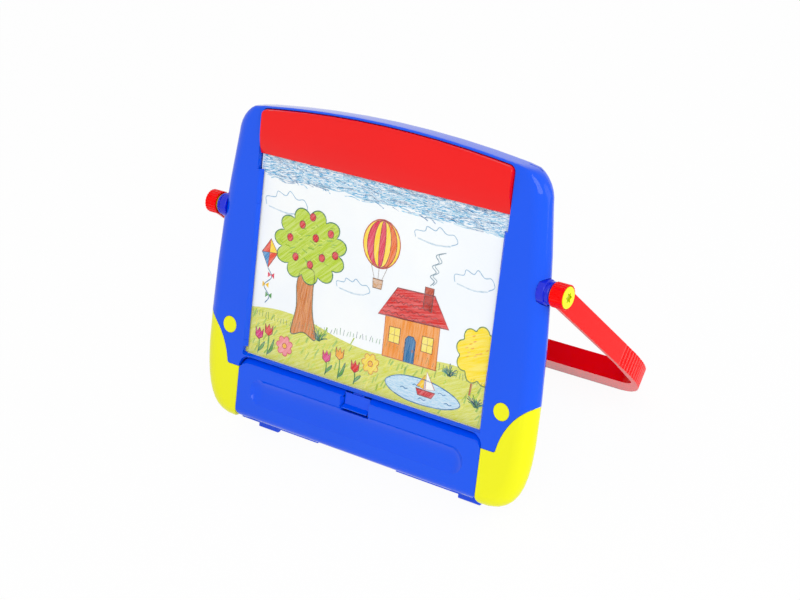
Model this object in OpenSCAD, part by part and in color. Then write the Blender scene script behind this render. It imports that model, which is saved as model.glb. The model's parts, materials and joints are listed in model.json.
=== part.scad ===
// Tabletop easel: a framed drawing board with a storage tray, on a swing-out stand.
// The board is drawn in its own frame: x to the right, y back through its depth and
// z up its height, with the front face at y = 0. It is then leaned back and set down.

/* [Board] */
// Half of the board's greatest width
board_half_w = 200.6; // [196:0.2:204]
// Height at which the board is widest
widest_at = 78; // [60:1:100]
// Radius of the long bow of each side
side_bow_r = 1560; // [1400:10:2400]
// Height of the board at its middle
board_h = 342.3; // [338:0.1:346]
// Radius of the arched top edge
top_arch_r = 1180; // [1000:10:2000]
// Radius of the two top corners
top_corner_r = 32; // [26:1:36]
// Thickness of the board
board_t = 26; // [25:0.2:27]
// Reach of the rounded side, inwards from its widest line
side_round = 17; // [12:0.5:18]
// Radius of the top edge's rounding
top_round = 3; // [2:0.5:4]
// Wall of the moulded shells
wall = 2.4; // [2:0.1:2.6]

/* [Feet] */
// Height of the foot corner's curve
foot_curve_h = 112; // [100:1:120]
// Width of the foot corner's curve
foot_curve_w = 56; // [50:1:60]
// Fullness of the foot corner, 2 is an ellipse
foot_fullness = 3.75; // [3:0.05:4]
// Height of the feet's bottom above the board's base line
foot_base = 4.3; // [3:0.1:6]
// Rounding under the feet
foot_round = 11; // [9:0.5:12]
// Height of the level part of the foot's upper edge
foot_edge_h = 61.5; // [58:0.5:64]
// Radius of the curved part of the foot's upper edge
foot_edge_r = 73; // [70:1:76]

/* [Window and header] */
// Half width of the window at the front of its bevel
window_half_w = 147; // [146:0.1:147]
// Half width of the sheet that shows
sheet_half_w = 144; // [143.5:0.1:144.5]
// Lower edge of the window
window_low = 78; // [77.5:0.1:78.5]
// Lower edge of the header panel
header_low = 285.3; // [285:0.1:286]
// Depth of the clear window's front face
glazing_d = 4.3; // [4.2:0.1:4.6]
// Bulge radius of the header panel
header_bulge_r = 75; // [70:1:78]

/* [Tray door] */
// Half width of the door
door_half_w = 150; // [149.8:0.1:150]
// Height of the door's top edge
door_top = 71.5; // [71:0.1:71.6]
// Radius of the door's rolled lower edge, about its hinge
door_roll_r = 9; // [8.5:0.1:9]
// Half length of the long groove
groove_half_l = 132.5; // [125:0.5:134]
// Height of the groove's middle line
groove_h = 40.75; // [40:0.25:41.5]
// Half of the groove's width at the face
groove_half_w = 13.75; // [13:0.25:14]
// Depth of the groove
groove_depth = 5; // [4:0.2:5]

/* [Stand] */
// Height of the stand's pivot up the board
pivot_h = 222; // [215:1:230]
// Depth of the stand's pivot
pivot_d = 11.5; // [11:0.1:12.5]
// Room from the board's widest line to the outer face of the stand's arms
stand_room = 6.6; // [6.2:0.1:7.2]
// Reach of the stand from its pivot to the cross bar's outer face
stand_reach = 277; // [270:1:290]
// Depth of the cross bar, from its inner to its outer face
bar_depth = 40; // [30:1:44]
// Inward taper of the stand's arms, in degrees
arm_taper = 0.6; // [0:0.1:0.8]
// Length of the long outer bend that joins each arm to the cross bar
bend_l = 107; // [90:1:120]
// Inner bend radius of the stand's corners
stand_bend_r = 20; // [12:1:26]
// Thickness of the stand's arms
band_t = 3.8; // [3.2:0.1:4]
// Width of the stand's band
band_w = 22; // [20:0.2:23]
// Angle of the stand, opened from the back of the board
stand_open = 60.15; // [50:0.05:65]

/* [Hidden] */

$fn = 64;
eps = 0.01;
blue = "#0855F0";
deep_blue = "#0000CC";
red = "#F00000";
yellow = "#FFF010";

// Placing: the easel rests on the two lugs under its back edge and on the stand's cross bar.
lug_low = -7;
lug_front = board_t + 2.6;
lug_back = board_t + 8;
lug_sole = 2.4;
bar_sole = 1.2;
rest_d = lug_back - lug_sole;
rest_h = lug_low;
bar_edge = band_w / 2 - bar_sole;
bar_d = pivot_d - bar_edge * cos(stand_open) + stand_reach * sin(stand_open);
bar_h = pivot_h - bar_edge * sin(stand_open) - stand_reach * cos(stand_open);
lean = atan2(bar_h - rest_h, bar_d - rest_d);
board_z = rest_d * sin(lean) - rest_h * cos(lean);
front_y = foot_round * cos(lean) + (foot_base + foot_round) * sin(lean) - foot_round;
bar_back_d = pivot_d + band_w / 2 * cos(stand_open) + stand_reach * sin(stand_open);
bar_back_h = pivot_h + band_w / 2 * sin(stand_open) - stand_reach * cos(stand_open);
back_y = bar_back_d * cos(lean) + bar_back_h * sin(lean);
board_y = -(front_y + back_y) / 2;

// Outline of the board
seam = board_t / 2;
arch_end = 150;
corner_h = board_h - arch_end * arch_end / (2 * top_arch_r) - top_corner_r;
foot_top = foot_base + foot_curve_h;
depth_steps = 6;
arch_steps = 4;
corner_steps = 7;
side_steps = 4;
foot_steps = 10;

// Window, header and sill
glazing_t = 1;
sheet_t = 0.3;
backing_t = 2;
rebate_half_w = 149.6;
rebate_low = window_low - 1.8;
drawing_room = 0.4;
header_half_w = 149;
header_gap = 0.6;
header_bulge_d = header_bulge_r - 4.4;
header_bulge_h = (header_low + board_h) / 2 + 4.4;
header_top_gap = 2.8;
header_corner_r = 6;
sill_under = 72.2;
lip_under = 74.6;
opening_r = 12;

// Storage
bin_half_w = 113;
bin_low = 17.2;
bin_top = 69.5;
bin_front = seam + 0.3;
bin_back = board_t - wall - 0.3;
housing_low = 4.2;
relief_half_w = 49.5;
relief_low = 6.5;
housing_half_w = door_half_w + 0.2;
hinge_d = door_roll_r;
hinge_h = 8 + door_roll_r;
hinge_x = 127;
pin_r = 2;
pin_half_l = 10;
running = 0.05;
roll_room = 9.6;
roll_wall = 11.6;
door_back = 11;
door_corner_r = 8.5;
door_face_top = 66.1;
slope_d = 6.8;
groove_r = (groove_half_w * groove_half_w + groove_depth * groove_depth) / (2 * groove_depth);
notch_half_w = 16.2;
notch_low = 51.3;

// Pivots
stand_half_w = board_half_w + stand_room;
hub_face = board_half_w - 1;
cap_r = 12;
cap_in = hub_face + 1.4;
cap_out = stand_half_w + 7.2;
head_r = 10.5;
bolt_r = 4;
trunnion_r = 6.5;
flange_in = hub_face - 12.6;
flange_r = 12.4;
nut_in = hub_face - 23.4;

// Fixings
post_r = 4.5;
post_places = [[168, 296], [170, 160]];
dot_place = [167.4, 102.3];
dot_r = 8.6;
foot_fix = [171, 50];
shelf_d = 18.5;

// ---------- shape helpers ----------

// Half width of the board at height v
function half_w(v) = board_half_w - pow(v - widest_at, 2) / (2 * side_bow_r);

// Right half of the outline, inset at the side, top and bottom
function half_outline(side, top, low) = concat(
    [for (i = [0 : arch_steps])
        let (x = arch_end * i / arch_steps)
        [x, board_h - top - x * x / (2 * top_arch_r)]],
    [for (i = [1 : corner_steps])
        let (a = 80 * (1 - i / corner_steps))
        [half_w(corner_h) - top_corner_r + (top_corner_r - side) * cos(a),
         corner_h + (top_corner_r - top) * sin(a)]],
    [for (i = [1 : side_steps])
        let (v = corner_h + (foot_top - corner_h) * i / side_steps)
        [half_w(v) - side, v]],
    [for (i = [1 : foot_steps])
        let (a = 90 * i / foot_steps)
        let (v = foot_top - (foot_curve_h - low) * pow(sin(a), 2 / foot_fullness))
        [half_w(v) - foot_curve_w + (foot_curve_w - side) * pow(abs(cos(a)), 2 / foot_fullness), v]]
);

// Inset of an edge rounded to radius r, at depth d
function edge_inset(r, d) =
    let (e = min(d, board_t - d))
    e < r ? r - sqrt(r * r - pow(r - e, 2)) : 0;

// Inset of the half-round side at depth d
function side_inset(d) = side_round * (1 - sqrt(max(0, 1 - pow(1 - d / seam, 2))));

// Full outline at depth d as 3D points, drawn in by inset and moved to depth at
function ring(d, inset, at) =
    let (h = half_outline(side_inset(d) + inset, edge_inset(top_round, d) + inset,
                          edge_inset(foot_round, d) + inset))
    concat([for (p = h) [p[0], at, p[1]]],
           [for (i = [len(h) - 1 : -1 : 1]) [-h[i][0], at, h[i][1]]]);

// Body through the outlines at the given depths, each as [outline depth, own depth]
module loft(depths, inset) {
    rings = [for (d = depths) ring(d[0], inset, d[1])];
    n = len(rings[0]);
    last = len(rings) - 1;
    points = [for (r = rings) each r];
    sides = [for (k = [0 : last - 1], i = [0 : n - 1])
        let (a = k * n + i, b = k * n + (i + 1) % n)
        each [[a, a + n, b], [b, a + n, b + n]]];
    front_cap = [for (i = [0 : n - 1]) i];
    back_cap = [for (i = [n - 1 : -1 : 0]) last * n + i];
    polyhedron(points, concat([front_cap], sides, [back_cap]), convexity = 6);
}

function arc_depth(i) = seam * (1 - cos(90 * i / depth_steps));
front_depths = [for (i = [0 : depth_steps]) [arc_depth(i), arc_depth(i)]];
rear_depths = [for (i = [depth_steps : -1 : 0]) [board_t - arc_depth(i), board_t - arc_depth(i)]];
all_depths = concat(front_depths, [for (i = [1 : depth_steps]) rear_depths[i]]);
function inner(d) = wall + d * (board_t - 2 * wall) / board_t;
hollow_depths = [for (d = all_depths) [d[0], inner(d[1])]];

// Turn a flat (depth, height) section into a bar along x
module along_x(half_l) {
    rotate([90, 0, 90])
        translate([0, 0, -half_l])
            linear_extrude(2 * half_l) children();
}

// Turn a flat (x, height) shape into a slab from depth d0 to d1
module through(d0, d1) {
    translate([0, d1, 0])
        rotate([90, 0, 0])
            linear_extrude(d1 - d0) children();
}

// Rod along x from x0 to x1 at a given depth and height
module rod_x(x0, x1, r, d, h) {
    translate([x0, d, h]) rotate([0, 90, 0]) cylinder(h = x1 - x0, r = r);
}

// Rod along the depth
module rod_y(x, h, r, d0, d1) {
    translate([x, d1, h]) rotate([90, 0, 0]) cylinder(h = d1 - d0, r = r);
}

module box(x0, x1, d0, d1, h0, h1) {
    translate([x0, d0, h0]) cube([x1 - x0, d1 - d0, h1 - h0]);
}

module both_sides() {
    children();
    mirror([1, 0, 0]) children();
}

// Lean the board back and set it on the ground plane
module place() {
    translate([0, board_y, board_z]) rotate([-lean, 0, 0]) children();
}

module below_ground() {
    translate([-300, -300, -50]) cube([600, 600, 50]);
}

// Flat rectangle with true round corners
module round_rect(x0, x1, h0, h1, r) {
    translate([x0 + r, h0]) square([x1 - x0 - 2 * r, h1 - h0]);
    translate([x0, h0 + r]) square([x1 - x0, h1 - h0 - 2 * r]);
    for (x = [x0 + r, x1 - r], h = [h0 + r, h1 - r])
        translate([x, h]) circle(r);
}

// ---------- shared regions ----------

// Region that a corner foot takes from the board, grown by a gap
module foot_region(gap) {
    edge_x = board_half_w + 37.8;
    edge_h = foot_edge_h - 10.2;
    fillet_r = 3;
    fillet_h = foot_edge_h + fillet_r;
    fillet_x = edge_x - sqrt(pow(foot_edge_r + fillet_r, 2) - pow(fillet_h - edge_h, 2));
    box(door_half_w + 0.4 - gap, 260, -10, 40, -20, foot_edge_h + gap);
    rod_y(edge_x, edge_h, foot_edge_r + gap, -10, 40);
    difference() {
        box(fillet_x, fillet_x + 2.7, -10, 40, foot_edge_h, fillet_h);
        rod_y(fillet_x, fillet_h, fillet_r - gap, -11, 41);
    }
}

// Round corner towards the door under each foot
module foot_corner() {
    r = 8;
    difference() {
        box(door_half_w, door_half_w + 0.4 + r, -1, board_t + 1, 0, foot_base + r);
        rod_y(door_half_w + 0.4 + r, foot_base + r, r, -2, board_t + 2);
    }
}

// Hollow inside the side rails and feet
module rail_hollow() {
    intersection() {
        loft(hollow_depths, wall);
        both_sides() box(152.8, 260, 0, 40, -20, 330);
    }
}

// Outline of the header, drawn in by inset: arched top and rounded top corners
module header_outline(inset) {
    half = header_half_w - inset;
    r = header_corner_r - inset;
    arch_mid = board_h - header_top_gap - top_arch_r;
    corner_x = header_half_w - header_corner_r;
    corner_v = arch_mid + sqrt(pow(top_arch_r - header_corner_r, 2) - corner_x * corner_x);
    right = concat(
        [[half, header_low - 16]],
        [for (a = [0 : 16.6 : 83]) [corner_x + r * cos(a), corner_v + r * sin(a)]],
        [for (i = [4 : -1 : 0])
            let (x = 128 * i / 4)
            [x, arch_mid + sqrt(pow(top_arch_r - inset, 2) - x * x)]]);
    polygon(concat(right, [for (i = [len(right) - 2 : -1 : 0]) [-right[i][0], right[i][1]]]));
}

// Seat behind a hub, kept inside the rounded side
module hub_seat(depths) {
    intersection() {
        loft(depths, 0.5);
        both_sides() rod_x(182, flange_in, flange_r + 2.2, pivot_d, pivot_h);
    }
}

// Room for the hubs: their flanges and the trunnions behind them
module hub_room() {
    both_sides() {
        rod_x(170, 210, trunnion_r, pivot_d, pivot_h);
        rod_x(flange_in, 215, flange_r + 0.3, pivot_d, pivot_h);
    }
}

// ---------- board shells ----------

module front_frame() {
    color(blue) place() {
        difference() {
            union() {
                difference() {
                    loft(front_depths, 0);
                    rail_hollow();
                }
                for (s = [-1, 1], p = post_places)
                    rod_y(s * p[0], p[1], post_r, 1, seam);
                hub_seat(front_depths);
            }
            window_cut();
            through(-10, seam + 1) header_outline(-header_gap);
            door_cut();
            hub_room();
            both_sides() {
                foot_region(0.35);
                rod_y(dot_place[0], dot_place[1], dot_r + 0.35, -1, 1.8);
                rod_y(dot_place[0], dot_place[1], 3.2, 0, 4);
                for (h = [91, 234]) bevel_recess(h);
                for (p = post_places) rod_y(p[0], p[1], 1.4, 3.5, seam + 1);
            }
        }
    }
}

// Window opening with its bevel, and the rebate behind it
module window_cut() {
    bevel = window_half_w - sheet_half_w;
    translate([0, 0, window_low - 0.8])
        linear_extrude(header_low - window_low + 12)
            polygon([[-window_half_w - bevel / 4, -1], [-sheet_half_w, glazing_d - 0.2],
                     [-sheet_half_w, seam + 1], [sheet_half_w, seam + 1],
                     [sheet_half_w, glazing_d - 0.2], [window_half_w + bevel / 4, -1]]);
    box(-rebate_half_w, rebate_half_w, glazing_d - 0.1, seam + 1, rebate_low, header_low + 8);
    along_x(window_half_w)
        polygon([[-1, lip_under + 0.9], [0.8, lip_under + 0.9], [4.2, window_low],
                 [4.2, window_low + 6], [-1, window_low + 6]]);
}

// Shallow recess in the window's side bevel
module bevel_recess(h) {
    x = window_half_w;
    translate([0, 0, h])
        linear_extrude(44)
            polygon([[x - 1, -1], [x + 1.4, -1], [x - 1.9, 3.2], [x - 2.6, 3.2]]);
}

// Opening for the door, up to the underside of the sill and its lip
module door_cut() {
    half = door_half_w + 0.4;
    difference() {
        along_x(half)
            polygon([[-1, -20], [seam + 1, -20], [seam + 1, sill_under], [5.6, sill_under],
                     [4.2, lip_under], [-1, lip_under]]);
        both_sides() {
            corner_fill(half, lip_under, opening_r, -0.1, 4.2);
            corner_fill(half, sill_under, door_corner_r + 0.6, 4.1, seam);
        }
    }
}

// What a round corner leaves of a square one
module corner_fill(x, h, r, d0, d1) {
    difference() {
        box(x - r, x + 1, d0, d1, h - r, h + 1);
        rod_y(x - r, h - r, r, d0 - 1, d1 + 1);
    }
}

module rear_shell() {
    color(blue) place() {
        difference() {
            union() {
                difference() {
                    union() {
                        difference() {
                            loft(rear_depths, 0);
                            both_sides() foot_region(0.35);
                        }
                        housing(0, housing_half_w);
                    }
                    difference() {
                        loft(hollow_depths, wall);
                        both_sides() foot_region(2.6);
                        roll_trough();
                        relief(wall);
                    }
                    difference() {
                        housing(wall, housing_half_w - wall);
                        roll_trough();
                        relief(wall);
                    }
                    relief(0);
                    rod_x(-housing_half_w - 1, housing_half_w + 1, roll_room, hinge_d, hinge_h);
                }
                hub_seat(rear_depths);
                both_sides() {
                    for (p = post_places) rod_y(p[0], p[1], post_r, seam, board_t - 1);
                    box(160, 182, shelf_d, shelf_d + 2.5, 42, 66);
                    box(160, 165.6, shelf_d, board_t - 1, 64, 66);
                    for (x = [30, 100]) box(x, x + 2, support_d, board_t - 1, 80, 282);
                    hinge_bracket();
                    lug();
                }
            }
            hub_room();
            both_sides() {
                rod_x(hinge_x - 15, hinge_x + 15, pin_r + running, hinge_d, hinge_h);
                rod_y(foot_fix[0], foot_fix[1], 1.7, 17, 22);
                for (p = post_places) {
                    rod_y(p[0], p[1], 1.8, seam - 1, 17);
                    rod_y(p[0], p[1], 3.6, 16, board_t + 1);
                }
                translate([0, 17, board_h - 17])
                    rotate([0, 7, 0]) round_slot(152, 166);
            }
        }
    }
}

// Raised middle of the housing's underside
module relief(grow) {
    box(-relief_half_w - grow, relief_half_w + grow, 0, 40, -20, relief_low + grow);
}

// Concave wall behind the door's rolled edge
module roll_trough() {
    intersection() {
        rod_x(-housing_half_w, housing_half_w, roll_wall, hinge_d, hinge_h);
        box(-housing_half_w, housing_half_w, seam, 30, housing_low, bin_low - 0.3);
    }
}

sheet_d = glazing_d + glazing_t + drawing_room;
backing_d = sheet_d + sheet_t;
support_d = backing_d + backing_t + 0.35;

// Shallow slot in the top edge, near a corner
module round_slot(x0, x1) {
    hull_h = 30;
    translate([x0, 0, 0]) cylinder(h = hull_h, r = 0.9);
    translate([x1, 0, 0]) cylinder(h = hull_h, r = 0.9);
    translate([x0, -0.9, 0]) cube([x1 - x0, 1.8, hull_h]);
}

// Lower back housing, drawn in by inset
module housing(inset, half_l) {
    r = 5 - inset / 2;
    low = housing_low + inset;
    back = board_t - inset;
    front = inset > 0 ? seam - 1 : seam;
    along_x(half_l) {
        translate([front, low]) square([back - r - front, 40 - low]);
        translate([front, low + r]) square([back - front, 40 - low - r]);
        translate([back - r, low + r]) circle(r);
    }
}

// Bracket that carries one door hinge pin
module hinge_bracket() {
    rod_x(hinge_x - 5.6, hinge_x + 5.6, 3.8, hinge_d, hinge_h);
    box(hinge_x - 5.6, hinge_x + 5.6, hinge_d, board_t - 1, hinge_h - 3.8, hinge_h + 3.8);
    box(hinge_x - 5.6, hinge_x + 5.6, 19, board_t - 1, housing_low + 1, hinge_h + 3.8);
}

// Lug on the lower back edge, trimmed flat where it stands on the table
module lug() {
    half = 12.4;
    in = board_t - wall / 2;
    difference() {
        translate([hinge_x, 0, 0])
            along_x(half)
                polygon([[in, 10], [in, 8.6], [lug_front, 5.6], [lug_front, lug_low + 1],
                         [lug_front + 1, lug_low], [lug_back, lug_low],
                         [lug_back, 14], [lug_back - 5, 21], [in, 24]]);
        translate([0, rest_d, rest_h]) rotate([lean, 0, 0])
            translate([hinge_x - 2 * half, -2 * lug_back, -lug_back]) cube([4 * half, 4 * lug_back, lug_back]);
    }
}

// ---------- header, window and sheets ----------

module header_panel() {
    color(red) place()
        difference() {
            intersection() {
                header_edges();
                rod_x(-header_half_w - 9, header_half_w + 9, header_bulge_r, header_bulge_d, header_bulge_h,
                      $fn = 200);
            }
            intersection() {
                rod_x(-header_half_w - 9, header_half_w + 9, header_bulge_r - wall, header_bulge_d,
                      header_bulge_h, $fn = 200);
                box(-header_half_w + wall, header_half_w - wall, -8, 20, header_low - 15, board_h - 14);
            }
            box(-header_half_w - 9, header_half_w + 9, glazing_d - 0.15, 20, header_low - 20, header_low + 4.6);
            box(-header_half_w - 9, header_half_w + 9, -10, 20, header_low - 40, header_low);
        }
}

// Rounded rim of the header panel
module header_edges() {
    hull() {
        for (e = [[-5, 2.2], [-3.2, 1], [-0.6, 0.25], [1.6, 0], [8.98, 0]])
            through(e[0], e[0] + 0.02)
                header_outline(e[1]);
    }
}

module clear_window() {
    color("white", 0.3) place()
        box(-rebate_half_w + 0.4, rebate_half_w - 0.4, glazing_d, glazing_d + glazing_t,
            rebate_low + 0.3, header_low + 4);
}

module drawing_sheet() {
    color("white") place()
        box(-rebate_half_w + 1.1, rebate_half_w - 1.1, sheet_d, backing_d - 0.05,
            rebate_low + 0.5, header_low + 1.4);
}

module backing_board() {
    color("gainsboro") place()
        box(-rebate_half_w + 0.6, rebate_half_w - 0.6, backing_d, backing_d + backing_t,
            rebate_low + 0.3, header_low + 4);
}

// ---------- storage tray ----------

module storage_bin() {
    t = 1.8;
    color(blue) place()
        difference() {
            box(-bin_half_w, bin_half_w, bin_front, bin_back, bin_low, bin_top);
            difference() {
                box(-bin_half_w + t, bin_half_w - t, bin_front - 1, bin_back - t,
                    bin_low + t, bin_top - t);
                rod_x(-bin_half_w, bin_half_w, roll_wall, hinge_d, hinge_h);
            }
            rod_x(-bin_half_w - 1, bin_half_w + 1, roll_room + 0.1, hinge_d, hinge_h);
        }
}

// Section of the door, drawn in by inset
module door_section(inset) {
    r = door_roll_r - inset;
    back = door_back + (inset > 0 ? 2 : 0);
    top = door_top - inset;
    intersection() {
        translate([hinge_d, hinge_h]) circle(r);
        translate([-1, -1]) square([hinge_d + 1, hinge_h + 1]);
    }
    polygon([[inset, hinge_h], [inset, door_face_top - 1.1 - inset / 2],
             [inset + 0.4, door_face_top - inset / 2], [slope_d, top], [back, top],
             [back, hinge_h - r], [hinge_d, hinge_h - r], [hinge_d, hinge_h]]);
}

// The groove, or its backing when grown
module groove(grow) {
    d = groove_depth - groove_r;
    end_x = groove_half_l - groove_half_w;
    rod_x(-end_x, end_x, groove_r + grow, d, groove_h, $fn = 96);
    for (s = [-1, 1])
        translate([s * end_x, d, groove_h]) sphere(groove_r + grow, $fn = 96);
}

// Front view of the door: its corners slope back with its upper edge
module door_outline() {
    low = hinge_h - door_roll_r;
    hull() {
        through(0.4, 0.41)
            round_rect(-door_half_w, door_half_w, low, door_face_top, door_corner_r);
        through(slope_d, slope_d + 0.01)
            round_rect(-door_half_w, door_half_w, low, door_top, door_corner_r);
    }
    through(-1, 0.4) round_rect(-door_half_w, door_half_w, low, door_face_top, door_corner_r);
    through(slope_d, 20) round_rect(-door_half_w, door_half_w, low, door_top, door_corner_r);
}

module tray_door() {
    color(blue) place()
        difference() {
            union() {
                difference() {
                    intersection() {
                        along_x(door_half_w) door_section(0);
                        door_outline();
                    }
                    along_x(door_half_w - wall) door_section(wall);
                }
                intersection() {
                    groove(2.2);
                    box(-door_half_w + 1, door_half_w - 1, 0.5, door_back, 20, 62);
                }
                box(-notch_half_w - 4, notch_half_w + 4, 0.5, 7.2, notch_low - 1.8, 65);
                both_sides() for (x = [hinge_x - 10, hinge_x + 6.5]) {
                    box(x, x + 3.5, 1, door_back - 0.5, hinge_h, hinge_h + 7);
                    intersection() {
                        rod_x(x, x + 3.5, door_roll_r - 0.8, hinge_d, hinge_h);
                        box(x, x + 3.5, 1, door_back - 0.5, 5, hinge_h + 1);
                    }
                    intersection() {
                        rod_x(x, x + 3.5, 5.4, hinge_d, hinge_h);
                        box(x, x + 3.5, 1, 16, 5, 30);
                    }
                }
                box(-4, 4, 5, door_back - 0.2, 43.8, 46);
            }
            groove(0);
            notch_cut();
            both_sides() {
                rod_x(hinge_x - 15, hinge_x + 15, pin_r, hinge_d, hinge_h);
                box(hinge_x - 6.4, hinge_x + 6.4, 3.4, 14, -1, 21.6);
            }
        }
}

// Finger notch with flared sides, cut right through the door's upper edge
module notch_cut() {
    translate([0, 0, notch_low])
        linear_extrude(30)
            polygon([[-notch_half_w - 2, -1], [-notch_half_w, 5], [-notch_half_w, 14],
                     [notch_half_w, 14], [notch_half_w, 5], [notch_half_w + 2, -1]]);
}

module hinge_pin(side) {
    color("silver") place()
        rod_x(side * hinge_x - pin_half_l, side * hinge_x + pin_half_l, pin_r, hinge_d, hinge_h);
}

module door_latch() {
    color(blue) place() {
        along_x(notch_half_w - 0.7)
            polygon([[5, 70.4], [7.4, 70.4], [7.4, 54.6], [0.5, 54.6], [0.5, 55.6], [5, 58.4]]);
        along_x(7) polygon([[6, 70], [7.4, 70], [7.4, 71.8], [6, 71.8]]);
        box(-notch_half_w - 2.4, notch_half_w + 2.4, 7.4, 8.7, 57, 69);
        box(-2.5, 2.5, 7, 10.9, 56, 58);
    }
}

// Coil spring under the latch
module latch_spring() {
    low = 46.3;
    high = 55.7;
    turns = 5;
    steps = 60;
    coil_r = 1.3;
    wire_r = 0.3;
    sides = 6;
    points = [for (k = [0 : steps], j = [0 : sides - 1])
        let (a = 360 * turns * k / steps, b = 360 * j / sides, r = coil_r + wire_r * cos(b))
        [r * cos(a), 9.1 + r * sin(a), low + (high - low) * k / steps + wire_r * sin(b)]];
    skin = [for (k = [0 : steps - 1], j = [0 : sides - 1])
        let (p = k * sides + j, q = k * sides + (j + 1) % sides)
        each [[p, q, p + sides], [q, q + sides, p + sides]]];
    start = [for (j = [sides - 1 : -1 : 0]) j];
    end = [for (j = [0 : sides - 1]) steps * sides + j];
    color("silver") place() polyhedron(points, concat([start], skin, [end]), convexity = 8);
}

// ---------- feet and caps ----------

module foot(side) {
    color(yellow) place() mirror([side < 0 ? 1 : 0, 0, 0])
        difference() {
            union() {
                difference() {
                    intersection() {
                        loft(all_depths, 0);
                        foot_region(0);
                    }
                    rail_hollow();
                }
                rod_y(foot_fix[0], foot_fix[1], 4, 1.5, 18.3);
            }
            foot_corner();
            rod_y(foot_fix[0], foot_fix[1], 1.5, 6, 19);
            rod_y(foot_fix[0], foot_fix[1], 3.8, 21, board_t + 1);
        }
}

module dot_cap(side) {
    color(yellow) place() {
        rod_y(side * dot_place[0], dot_place[1], dot_r, 0, 1.6);
        rod_y(side * dot_place[0], dot_place[1], 3, 1, 6);
    }
}

// ---------- pivots ----------

// Turned part along x on the pivot line, from a (radius, x) section
module turned(side) {
    translate([0, pivot_d, pivot_h])
        mirror([side < 0 ? 1 : 0, 0, 0])
            rotate([0, 90, 0]) rotate_extrude() children();
}

module hub(side) {
    color(deep_blue, 0.9) place() turned(side)
        polygon([[bolt_r, nut_in + 4], [trunnion_r, nut_in + 4], [trunnion_r, flange_in],
                 [flange_r - 0.4, flange_in], [flange_r, flange_in + 0.4],
                 [flange_r, hub_face - 5.6], [flange_r - 0.5, hub_face - 4.8],
                 [flange_r - 1.5, hub_face - 4.5], [flange_r - 1.8, hub_face - 4.1],
                 [flange_r - 1.8, hub_face - 3.4], [flange_r - 1.2, hub_face - 2.9],
                 [flange_r - 1.2, hub_face - 1.3], [flange_r - 1.8, hub_face - 0.4],
                 [flange_r - 2.6, hub_face], [bolt_r, hub_face]]);
}

module friction_washer(side) {
    color("#D8C000") place() turned(side)
        polygon([[bolt_r, hub_face], [9.6, hub_face], [9.6, hub_face + 3.4], [bolt_r, hub_face + 3.4]]);
}

module star_bolt(side) {
    color(yellow) place()
        difference() {
            turned(side)
                polygon([[0, nut_in - 2.2], [bolt_r - 0.6, nut_in - 2.2], [bolt_r, nut_in - 1.2],
                         [bolt_r, cap_out - 1.7], [head_r, cap_out - 1.7], [head_r, cap_out + 0.1],
                         [head_r - 0.6, cap_out + 0.7], [0, cap_out + 0.7]]);
            translate([0, pivot_d, pivot_h]) mirror([side < 0 ? 1 : 0, 0, 0])
                translate([cap_out - 0.8, 0, 0]) rotate([0, 90, 0])
                    linear_extrude(3)
                        for (a = [0, 60]) rotate(a + 30) circle(5.8, $fn = 3);
        }
}

module bolt_nut(side) {
    color("silver") place()
        translate([0, pivot_d, pivot_h]) mirror([side < 0 ? 1 : 0, 0, 0])
            translate([nut_in, 0, 0]) rotate([0, 90, 0])
                difference() {
                    cylinder(h = 4, r = 7, $fn = 6);
                    translate([0, 0, -1]) cylinder(h = 6, r = bolt_r);
                }
}

// Ribbed end cap section
module cap_section() {
    ribs = 24;
    polygon([for (i = [0 : ribs - 1], j = [0 : 3])
        let (a = 360 * (i + [0, 0.12, 0.5, 0.62][j]) / ribs)
        let (r = j < 2 ? cap_r - 0.45 : cap_r)
        [r * cos(a), r * sin(a)]]);
}

// Half width of the stand's outside at distance v from the pivot
bend_start = stand_reach - bend_l;
bend_w = 55.5;
function arm_x(v) = stand_half_w - v * tan(arm_taper);
function bend_point(a) = [arm_x(bend_start) - bend_w + bend_w * pow(cos(a), 0.8),
                          -bend_start - bend_l * pow(sin(a), 0.8)];

// Right half of the stand's outside and inside, seen along the pivot's plane
outside = concat([[stand_half_w, 0]], [for (a = [0 : 6 : 90]) bend_point(a)]);
bar_in = stand_reach - bar_depth;
inner_h = bar_in - stand_bend_r;
inner_x = arm_x(bend_start) - band_t - 5.6 - stand_bend_r;
inside = concat([[stand_half_w - band_t, 0], [arm_x(bend_start - 10) - band_t, -bend_start + 10]],
                [for (a = [0 : 10 : 90])
                    [inner_x + stand_bend_r * cos(a), -inner_h - stand_bend_r * sin(a)]]);

// Polygon through the given right hand points and their mirror images
module both_halves(points) {
    polygon(concat(points, [for (i = [len(points) - 1 : -1 : 0]) [-points[i][0], points[i][1]]]));
}

module band_outline() {
    n = len(outside);
    m = len(inside);
    polygon(concat(outside, [for (i = [n - 1 : -1 : 0]) [-outside[i][0], outside[i][1]]],
                   [for (i = [0 : m - 1]) [-inside[i][0], inside[i][1]]],
                   [for (i = [m - 1 : -1 : 0]) inside[i]]));
}

// Pockets that lighten the cross bar, open towards its upper side
module bar_pockets() {
    t = 3;
    floor_t = 3.2;
    difference() {
        translate([0, band_w / 2 + 1, 0]) rotate([90, 0, 0])
            linear_extrude(band_w + 1 - floor_t)
                both_halves(concat(
                        [[arm_x(bend_start) - bend_w, -stand_reach + t]],
                        [for (a = [80 : -8 : 40]) bend_point(a) - 1.1 * t * [cos(a), -sin(a)]],
                        [for (a = [40 : 10 : 90])
                            [inner_x + (stand_bend_r + t) * cos(a), -inner_h - (stand_bend_r + t) * sin(a)]]));
        for (x = [-150 : 50 : 150])
            translate([x - 1.2, -band_w, -stand_reach]) cube([2.4, 2 * band_w, bar_depth]);
    }
}

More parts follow.
